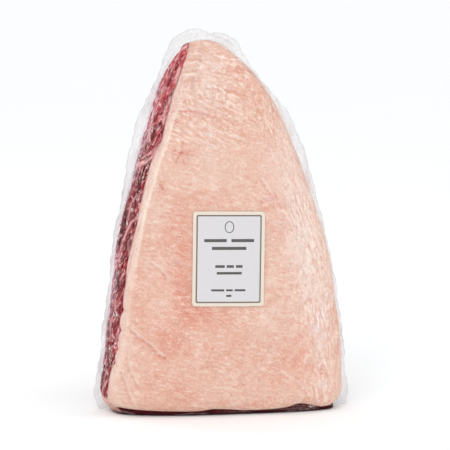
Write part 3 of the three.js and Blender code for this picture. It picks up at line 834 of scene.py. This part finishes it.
class PICANHA_OT_lean(bpy.types.Operator):
    """Make the lean, with the strands that show on its cut side"""

    bl_idname = "picanha.lean"
    bl_label = "Lean"

    def execute(self, context):
        look = context.scene.picanha
        rows = LEAN_GRID[2]
        bm = box_grid(*LEAN_GRID)
        a, b, c = places(bm).T
        u = 2 * a - 1
        row = np.round(c * rows)
        t = np.maximum(row - 1, 0) / (rows - 1)
        points = inner(u, t, GAP)
        # below the fat the lean reaches forward to the film
        sole = face(u, t, 0) + np.array((0, 2.8, 0))
        points = np.where((row == 0)[:, None], sole, points)
        points += (back(u, t) - points) * b[:, None]
        points[:, 2] = np.where(row == 0, FOOT, points[:, 2])
        points[:, 0] *= np.where(row == 0, 0.985, 1)
        bow = np.sin(math.pi * b)
        z = points[:, 2].copy()
        level, rise, high, cut, lean, right, width = lines(t)
        left_wall = a < 1e-6
        reach = (0.35 * (cut - lean) + 0.65 * BACK_CORNER) / 0.89
        slant = np.stack((z + 20 * b, 30 * b, z * 0), -1)
        wide = 1 - np.clip(np.abs(cloud(slant, (27, 9.5, 1), 2, 1.7)) * 3.4, 0, 1)
        fine = 1 - np.clip(np.abs(cloud(slant, (9, 3.4, 1), 2, 4.2)) * 3.4, 0, 1)
        swell = cloud(slant, (34, 16, 1), 1, 8.8)
        membrane = wall_lines(b, z, MEMBRANES)
        valley = wall_lines(b, z, VALLEYS)
        dent = 0.9 + 1.5 * wide ** 1.6 + 0.7 * fine ** 1.4 - 1.1 * swell + 1.3 * valley - 0.5 * membrane
        dent += 0.1 * smooth(z, 215, 245)
        dent = dent * bow ** 0.5 * np.where(row > 1, 1, 0) * (1 - smooth(c, 0.975, 1))
        points[:, 0] += np.where(left_wall, dent - reach * bow ** 0.8, 0)
        right_wall = a > 1 - 1e-6
        points[:, 0] += np.where(right_wall, 4.5 * right_bow(bow, t), 0)
        points[:, 2] += np.where(row == rows, 2.5 * bow * (1 - u ** 4), 0)
        behind = b > 1 - 1e-6
        grain = 0.55 * cloud(points, (7, 30, 34), 3, 5.5) + 0.25 * cloud(points, (3, 30, 16), 2, 8.1)
        inside = (1 - np.abs(u) ** 6) * smooth(c, 0, 0.04) * (1 - smooth(c, 0.93, 1))
        points[:, 1] += np.where(behind, grain * inside, 0)
        points[:, 2] = np.maximum(points[:, 2], FOOT)
        move_to(bm, points)
        mask = np.clip(0.5 + 1.3 * cloud(slant, (16, 9, 1), 2, 9.4), 0, 1)
        tissue = np.clip(0.8 * wide ** 8 * mask + 0.6 * fine ** 10 * (1 - mask), 0, 1)
        tissue = np.where(left_wall, np.maximum(tissue, membrane), 0)
        shade = np.where(left_wall, np.maximum(0.6 * wide ** 3 * (1 - mask) * bow ** 0.3, valley), 0)
        shade = np.clip(shade + 0.95 * np.exp(-(z / 7.5) ** 4) * (b < 0.3) * (a > 1e-6), 0, 1)
        shade = np.where(left_wall, np.maximum(shade, 1 - smooth(z, 1.5, 4.0)), shade)
        # a rim of fat low on the cut side and all round the back, with a few seams
        rind = np.where(left_wall, (1 - smooth(z + 2 * np.sin(9 * b), 11, 15)) * smooth(z, 1.5, 4.5), 0)
        x = points[:, 0]
        rim = np.minimum(np.abs(1 - np.abs(u)) * 70, z - 2) + 2.5 * cloud(points, (12, 12, 12), 2, 3.3)
        rim = 0.9 * (1 - smooth(rim, 2.0, 4.5))
        wander = 7 * cloud(points, (15, 15, 15), 2, 7.7)
        uneven = 3 * cloud(points, (9, 9, 14), 2, 4.4)
        for seam, half in SEAMS:
            away = 4.5 * from_line(x + wander, z, seam) / half + uneven
            rim = np.maximum(rim, 0.55 * (1 - smooth(away, 1.0, 5.0)))
        rind = np.where(behind & (row < rows - 4), np.maximum(rind, rim), rind)
        fields = {
            "tissue": tissue, "shade": shade, "rind": rind, "silver": np.where(behind, 1.0, 0.0),
            "wall": np.where(left_wall, 1.0, 0.0),
            "lit": np.where(left_wall, 0.5 * smooth(z, 175, 235), 0),
        }
        MEAT["lean"] = BVHTree.FromBMesh(bm)
        finish_piece(bm, "lean_muscle", [lean_finish(look)], fields, "lean_meat")
        return {"FINISHED"}


class PICANHA_OT_film_skin(bpy.types.Operator):
    """Make the clear film that clings to the meat and bridges its hollows"""

    bl_idname = "picanha.film_skin"
    bl_label = "Clinging film"

    FOOT_ROWS = 12
    REACH = 0.006

    def execute(self, context):
        look = context.scene.picanha
        rows = FILM_GRID[2]
        bm = box_grid(*FILM_GRID)
        a, b, c = places(bm).T
        u = 2 * a - 1
        row = np.round(c * rows)
        t = np.maximum(row - self.FOOT_ROWS, 0) / (rows - self.FOOT_ROWS)
        drop = np.clip(row / self.FOOT_ROWS, 0, 1)
        front = face(u, t)
        rear = back(u, t)
        level, rise, high, cut, lean, right, width = lines(t)
        rear[:, 2] += 2.2 * np.exp(-level / 8)
        points = front + (rear - front) * b[:, None]
        bow = np.sin(math.pi * b)
        reach = (0.45 * (cut + width - lean) + 0.55 * BACK_CORNER) / 0.9
        slack = (1.2 + smooth(level, 210, 240)) * bow ** 0.5
        points[:, 0] -= np.where(a < 1e-6, reach * bow ** 0.8 - slack, 0)
        points[:, 0] += np.where(a > 1 - 1e-6, 5.0 * right_bow(bow, t), 0)
        points[:, 2] += np.where(row == rows, 3.0 * bow * (1 - u ** 4), 0)
        points[:, 2] = FILM_FOOT + (points[:, 2] - FILM_FOOT) * drop ** 0.8
        points[:, 1] += (1 - drop) ** 1.4 * 2.2 * (1 - b) * (1 - np.abs(u) ** 6)
        wave = 0.22 * cloud(points, (16, 16, 5), 3, 2.2)
        tight = cloud(np.stack((b * 26, points[:, 2], points[:, 2] * 0), -1), (9, 4, 1), 3, 6.6)
        tension = np.where(a < 1e-6, 0.45 * np.abs(tight), 0)
        move_to(bm, points)
        bm.normal_update()
        gap = look.film_gap
        for v, lift in zip(bm.verts, (np.maximum(wave, 0) + tension) * MM):
            v.co += v.normal * float(lift)
        bm.normal_update()
        for v in bm.verts:
            if v.co.z < 1.5 * FILM_FOOT * MM:
                continue
            way = v.normal.copy()
            start = v.co + way * self.REACH
            hits = [tree.ray_cast(start, -way, self.REACH + gap)[3] for tree in MEAT.values()]
            hits = [h for h in hits if h is not None]
            if hits:
                v.co = start - way * (min(hits) - gap)
        for v in bm.verts:
            v.co.z = max(v.co.z, FILM_FOOT * MM)
        x, z = points[:, 0], points[:, 2]
        side = a < 1e-6
        # patches of painted sheen on the film, which also thicken its haze
        frost_and_sheen = patches(x, z, FROST_AND_SHEEN) * (1 - smooth(b, 0, 0.1))
        veil_from = 0.37 + 0.07 * np.sin(z / 19 + 0.4)
        veil = smooth(b, veil_from, veil_from + 0.1) * (1 - smooth(z, 225, 250))
        veil = np.where(side, veil, 0)
        cut_share = CUT_DEPTH / (FACE_DEPTH(z) - LEFT_FALL(z) + BACK_DEPTH(z))
        lean_b = (b - cut_share) / (1 - cut_share)
        # where the film carries short dashes of painted sparkle on the cut side
        on_wall = smooth(lean_b, 0.0, 0.06) * (1 - smooth(lean_b, 0.8, 1)) * smooth(z, 16, 28)
        on_wall *= np.where(side, 0.55 + 0.45 * np.sin(z / 7.3) * np.sin(z / 17.0 + 1), 0)
        # painted glints: white highlights of the film's folds over the cut side
        glint = np.where(side, wall_lines(lean_b, z, GLINTS), 0)
        # painted glints of the film's folds below the fat
        for fold, strength, half in FOOT_GLINTS:
            near = strength * np.exp(-(from_line(x, z, fold) / half) ** 2)
            glint = np.maximum(glint, np.where(b < 0.03, near, 0))
        haze = np.clip(np.where(side, 0.01, 0.06) + 0.92 * veil + 0.35 * frost_and_sheen, 0, 1) * smooth(z, 3, 9)
        fields = {
            "haze": haze, "frost_and_sheen": frost_and_sheen, "glint": glint, "veil": veil * (1 - glint),
            "sparkle_dashes": np.clip(on_wall, 0, 1), "across": 0.07 * u, "along": 0.3 * z * MM,
            "gloss": (0.05 + 0.95 * smooth(z, 8, 15)) * np.where(side, 0.22, 1),
            "flank": smooth(u, 0.15, 0.5) * (1 - smooth(z, 215, 245)),
        }
        finish_piece(bm, "film_skin", [film_finish("clinging film", 0.1, 0.5, 0.5, 170)], fields)
        return {"FINISHED"}


LEFT_WIDTH = through([
    (0, 4.4), (6, 3.4), (12, 2.8), (20, 2.2), (42, 1.4), (93, 1.2), (127, 1.2), (150, 2.4), (172, 4.4),
    (195, 5.8), (212, 4.8), (229, 1.6), (244, 3), (258, 6.6),
])
RIGHT_WIDTH = through([
    (0, 8.4), (5, 7.6), (12, 6.2), (22, 4.2), (44, 3.2), (78, 2.2), (112, 1.8), (129, 2), (146, 3),
    (163, 5), (180, 6), (196, 6), (213, 5.4), (229, 1.4), (240, 2.6), (246, 3), (254, 6.8),
])
LEFT_DEPTH = through([(0, 13), (150, 11), (212, 9), (244, 6.5), (258, 5)])
RIGHT_DEPTH = through([(0, 5), (200, 5), (244, 3.4)])
MARGIN_FOOT = 1.8
MARGIN_STEPS = 26
TIP_WIDTHS = (8.7, 6.5, 5.2, 7.2, 8.1, 8.2)
BAG_CLEAR = 0.1
LEAN_RECESS = 1.5  # of the dressed lean behind its widest line


def margin_stations():
    """Where the free margin starts: x, y, z and width, from the left foot over the tip to the right foot."""
    rows = []
    for k in range(MARGIN_STEPS + 1):
        z = MARGIN_FOOT + (SHOULDER + CROWN * CROWN_LEFT - 2 - MARGIN_FOOT) * k / MARGIN_STEPS
        rows.append((LEAN_LINE(z) + LEAN_RECESS, LEFT_DEPTH(z), z, LEFT_WIDTH(z) + LEAN_RECESS + 0.4))
    for k in range(6):
        a = 0.1 + 0.16 * k
        x = CUT_LINE(SHOULDER + CROWN) + (RIGHT_LINE(SHOULDER) - CUT_LINE(SHOULDER + CROWN)) * a
        rows.append((x, 3.4, SHOULDER + CROWN * crown_share(a) + BAG_CLEAR, TIP_WIDTHS[k]))
    for k in range(MARGIN_STEPS, -1, -1):
        z = MARGIN_FOOT + (SHOULDER - 1 - MARGIN_FOOT) * k / MARGIN_STEPS
        rows.append((RIGHT_LINE(z) + BAG_CLEAR, RIGHT_DEPTH(z), z, RIGHT_WIDTH(z)))
    return np.array(rows, float)


class PICANHA_OT_film_margin(bpy.types.Operator):
    """Make the free margin of the bag, where its two films are pressed together"""

    bl_idname = "picanha.film_margin"
    bl_label = "Bag margin"

    def execute(self, context):
        stations = margin_stations()
        share = np.arange(len(stations)) / (len(stations) - 1)
        track = [through(np.stack((share, stations[:, i]), -1)) for i in range(4)]
        bm = box_grid(*MARGIN_GRID)
        a, b, c = places(bm).T
        step = 1e-3
        low, high = np.clip(a - step, 0, 1), np.clip(a + step, 0, 1)
        ax = track[0](high) - track[0](low)
        az = track[2](high) - track[2](low)
        long = np.hypot(ax, az)
        out = np.stack((-az / long, np.zeros_like(a), ax / long), -1)
        wave = 0.35 * np.sin(a * 150) + 0.3 * np.sin(a * 67 + 1) + 0.25 * np.sin(a * 391)
        width = track[3](a) + wave
        points = np.stack([track[i](a) for i in range(3)], -1) + out * (c * width)[:, None]
        way = np.stack((a * MARGIN_GRID[0], c * width, np.zeros_like(a)), -1)
        crumple = cloud(way, (26, 4.5, 1), 2, 2.0) + 0.25 * cloud(way, (8, 4, 1), 2, 6.0)
        points[:, 1] += (b - 0.5) * 0.45 + c * (0.9 * np.sin(a * 95) + 0.6 * np.sin(a * 41))
        points[:, 1] += np.clip(0.8 * crumple, -0.9, 0.9) * smooth(c, 0, 0.25)
        points[:, 2] = np.maximum(points[:, 2], 0.4)
        move_to(bm, points)
        rim = np.exp(-((1 - c) / 0.1) ** 2)
        haze = np.clip(0.85 + 0.5 * crumple + 0.3 * rim, 0.35, 1)
        finish = film_finish("pressed film", 0.48, 0.72, 0.14, 60)
        fields = {"haze": haze, "gloss": np.full(len(a), 0.7), "rim": rim}
        finish_piece(bm, "film_margin", [finish], fields, "vacuum_bag")
        return {"FINISHED"}


UPRIGHT = Matrix.Rotation(math.radians(90), 3, "X")
LABEL_W = 50.1
LABEL_H = 65.9
LABEL_R = 2.2
LABEL_T = 0.8
LABEL_X = 2.6
LABEL_Z = 111.85
LABEL_TURN = -0.02
BORDER = 2.3  # from the edge of the label to its line
LINE = 1.0
PAPERS = ((0, LABEL_R), (BORDER, 1.3), (BORDER + LINE, 0.8))  # inset and corner radius of each
RING = (3.3, 4.1)  # half width and half height of the plain ring above the bars
RING_AT = (0.2, 22.2)
RING_LINE = 0.55
PAPER_STEP = 0.03
INK_PROUD = 0.1  # of the paper, and its own thickness
BARS = (  # centre x and z from the middle of the label, width, height
    (-9.4, 12.9, 15.6, 2.1), (9.6, 12.9, 15.8, 2.1), (0.2, 7.5, 24.0, 2.1), (-6.0, -5.1, 6.6, 1.8),
    (1.1, -5.1, 5.0, 1.8), (7.4, -5.1, 4.6, 1.8), (0.5, -9.8, 17.4, 1.7), (-7.4, -21.7, 9.0, 1.4),
    (0.8, -21.7, 4.6, 1.4), (8.2, -21.7, 7.4, 1.4), (0.4, -25.6, 3.6, 1.4),
)


def bend_to_face(bm, proud):
    """Turns a flat shape drawn in x and z, with its depth in y, onto the fat face."""
    flat = places(bm)
    x = LABEL_X + flat[:, 0] * math.cos(LABEL_TURN) - flat[:, 2] * math.sin(LABEL_TURN)
    z = LABEL_Z + flat[:, 0] * math.sin(LABEL_TURN) + flat[:, 2] * math.cos(LABEL_TURN)
    points = on_face(x, z, proud)
    points[:, 1] += flat[:, 1]
    move_to(bm, points)


def slice_up(bm, steps_x, steps_z, half_w, half_h):
    for axis, steps, half in ((0, steps_x, half_w), (2, steps_z, half_h)):
        for k in range(1, steps):
            at, way = Vector((0, 0, 0)), Vector((0, 0, 0))
            at[axis] = -half + 2 * half * k / steps
            way[axis] = 1
            geom = bm.verts[:] + bm.edges[:] + bm.faces[:]
            bmesh.ops.bisect_plane(bm, geom=geom, dist=1e-5, plane_co=at, plane_no=way)


def thicken(bm, depth):
    """Gives flat faces a thickness towards the back."""
    made = bmesh.ops.extrude_face_region(bm, geom=bm.faces[:])
    behind = [g for g in made["geom"] if isinstance(g, bmesh.types.BMVert)]
    bmesh.ops.translate(bm, verts=behind, vec=(0, depth, 0))


class PICANHA_OT_label(bpy.types.Operator):
    """Make the label with its border, its line and plain bars in place of print"""

    bl_idname = "picanha.label"
    bl_label = "Label"

    def execute(self, context):
        bm = bmesh.new()
        for k, (inset, radius) in enumerate(PAPERS):
            known = set(bm.faces)
            corners = bmesh.ops.create_grid(bm, x_segments=1, y_segments=1, size=0.5)["verts"]
            bmesh.ops.scale(bm, verts=corners, vec=(LABEL_W - 2 * inset, LABEL_H - 2 * inset, 1))
            bmesh.ops.rotate(bm, verts=corners, matrix=UPRIGHT)
            bmesh.ops.translate(bm, verts=corners, vec=(0, -PAPER_STEP * k, 0))
            bmesh.ops.bevel(
                bm, geom=corners, offset=radius, segments=6, profile=0.5, affect="VERTICES", material=-1)
            for f in set(bm.faces) - known:
                f.material_index = k
        slice_up(bm, 14, 18, LABEL_W / 2, LABEL_H / 2)
        thicken(bm, LABEL_T * 0.7)
        bend_to_face(bm, GAP + LABEL_T)
        papers = [paper_finish(name) for name in ("label border", "label line", "label field")]
        label = finish_piece(bm, "label_plate", papers, node="label")
        label.data.shade_flat()
        bm = bmesh.new()
        for x, z, w, h in BARS:
            made = bmesh.ops.create_grid(bm, x_segments=max(2, int(w / 3)), y_segments=1, size=0.5)["verts"]
            bmesh.ops.scale(bm, verts=made, vec=(w, h, 1))
            bmesh.ops.rotate(bm, verts=made, matrix=UPRIGHT)
            bmesh.ops.translate(bm, verts=made, vec=(x, 0, z))
        ring = bmesh.ops.create_circle(bm, segments=36, radius=1, cap_ends=True)["verts"]
        disc = ring[0].link_faces[0]
        bmesh.ops.scale(bm, verts=ring, vec=(*RING, 1))
        bmesh.ops.rotate(bm, verts=ring, matrix=UPRIGHT)
        bmesh.ops.translate(bm, verts=ring, vec=(RING_AT[0], 0, RING_AT[1]))
        bmesh.ops.inset_region(bm, faces=[disc], thickness=RING_LINE, use_even_offset=True, use_boundary=True)
        bmesh.ops.delete(bm, geom=[disc], context="FACES")
        thicken(bm, INK_PROUD)
        bend_to_face(bm, GAP + LABEL_T + INK_PROUD)
        finish_piece(bm, "label_print", [paper_finish("label ink")])
        return {"FINISHED"}


# ---- the studio, in metres
FLOOR_REACH = 14.0
SUNS = (("key", 0.8, 45, (0.3, 1.0, -0.75)), ("fill", 0.3, 60, (-0.9, 0.6, -0.8)))  # power, spread, way
BOXES = (  # power, width and height, place
    ("rim left", 3.2, (0.16, 0.8), (-1.1, 0.8, 0.35)), ("strip left", 1.0, (0.08, 0.7), (-0.8, -0.7, 0.4)),
    ("strip right", 1.0, (0.1, 0.6), (0.9, -0.3, 0.4)),
)
BOX_AIM = (0, 0, 0.13)
LENS = 182.86
CAMERA_AT = (-0.2189, -1.5656, 0.3686)
CAMERA_AIM = (0.00138, 0.00144, 0.1321)


class PICANHA_OT_stage(bpy.types.Operator):
    """Make the floor, the soft lamps and the camera"""

    bl_idname = "picanha.stage"
    bl_label = "Studio"

    def execute(self, context):
        look = context.scene.picanha
        scene = context.scene
        bm = bmesh.new()
        bmesh.ops.create_circle(bm, segments=96, radius=FLOOR_REACH, cap_ends=True)
        mesh = bpy.data.meshes.new("floor")
        bm.to_mesh(mesh)
        bm.free()
        n = Nodes("pale floor")
        tone = n.mix(n.noise(n.place(), 3, 2), (0.955, 0.965, 0.966, 1), (0.97, 0.98, 0.981, 1))
        mesh.materials.append(n.close(n.add("ShaderNodeBsdfDiffuse", Color=tone).outputs[0]))
        floor = bpy.data.objects.new("floor", mesh)
        scene.collection.objects.link(floor)

        world = bpy.data.worlds.new("soft room")
        world.use_nodes = True
        tree = world.node_tree
        way = tree.nodes.new("ShaderNodeTexCoord").outputs["Generated"]
        split = tree.nodes.new("ShaderNodeSeparateXYZ")
        climb = tree.nodes.new("ShaderNodeMapRange")
        climb.inputs["From Min"].default_value = -0.05
        climb.inputs["From Max"].default_value = 0.85
        climb.inputs["To Min"].default_value = 0.25 * look.light
        climb.inputs["To Max"].default_value = 0.98 * look.light
        background = tree.nodes["Background"]
        background.inputs["Color"].default_value = (0.985, 0.99, 1.0, 1)
        tree.links.new(way, split.inputs[0])
        tree.links.new(split.outputs["Z"], climb.inputs["Value"])
        tree.links.new(climb.outputs["Result"], background.inputs["Strength"])
        scene.world = world

        def put(thing_data, at, way):
            """Places a lamp or the camera so that it looks that way."""
            thing = bpy.data.objects.new(thing_data.name, thing_data)
            thing.location = at
            thing.rotation_euler = Vector(way).to_track_quat("-Z", "Y").to_euler()
            scene.collection.objects.link(thing)
            return thing

        for name, power, spread, way in SUNS:
            lamp = bpy.data.lights.new(name, "SUN")
            lamp.energy = power * look.light
            lamp.angle = math.radians(spread)
            put(lamp, (0, 0, 0), way)
        for name, power, size, at in BOXES:
            lamp = bpy.data.lights.new(name, "AREA")
            lamp.shape = "RECTANGLE"
            lamp.size, lamp.size_y = size
            lamp.energy = power * look.light
            put(lamp, at, Vector(BOX_AIM) - Vector(at))
        camera = bpy.data.cameras.new("camera")
        camera.sensor_width = 36.0
        camera.lens = LENS
        camera.clip_end = 40.0
        scene.camera = put(camera, CAMERA_AT, Vector(CAMERA_AIM) - Vector(CAMERA_AT))
        scene.view_settings.view_transform = "Standard"
        return {"FINISHED"}


OPERATORS = (
    PICANHA_OT_stage, PICANHA_OT_fat, PICANHA_OT_lean, PICANHA_OT_film_skin, PICANHA_OT_film_margin,
    PICANHA_OT_label,
)


class PICANHA_PT_panel(bpy.types.Panel):
    """Lists the pieces and their sizes"""

    bl_label = "Picanha"
    bl_idname = "PICANHA_PT_panel"
    bl_space_type = "VIEW_3D"
    bl_region_type = "UI"
    bl_category = "Picanha"

    def draw(self, context):
        look = context.scene.picanha
        for name in ("fat_colour", "lean_colour", "film_gap", "fat_relief", "light"):
            self.layout.prop(look, name)
        for kind in OPERATORS:
            self.layout.operator(kind.bl_idname)


CLASSES = (PicanhaLook, *OPERATORS, PICANHA_PT_panel)


def register():
    for kind in CLASSES:
        bpy.utils.register_class(kind)
    bpy.types.Scene.picanha = bpy.props.PointerProperty(type=PicanhaLook)


def unregister():
    del bpy.types.Scene.picanha
    for kind in reversed(CLASSES):
        bpy.utils.unregister_class(kind)


def main():
    register()
    bpy.ops.picanha.stage()
    bpy.ops.picanha.fat()
    bpy.ops.picanha.lean()
    bpy.ops.picanha.film_skin()
    bpy.ops.picanha.film_margin()
    bpy.ops.picanha.label()


if __name__ == "__main__":
    main()
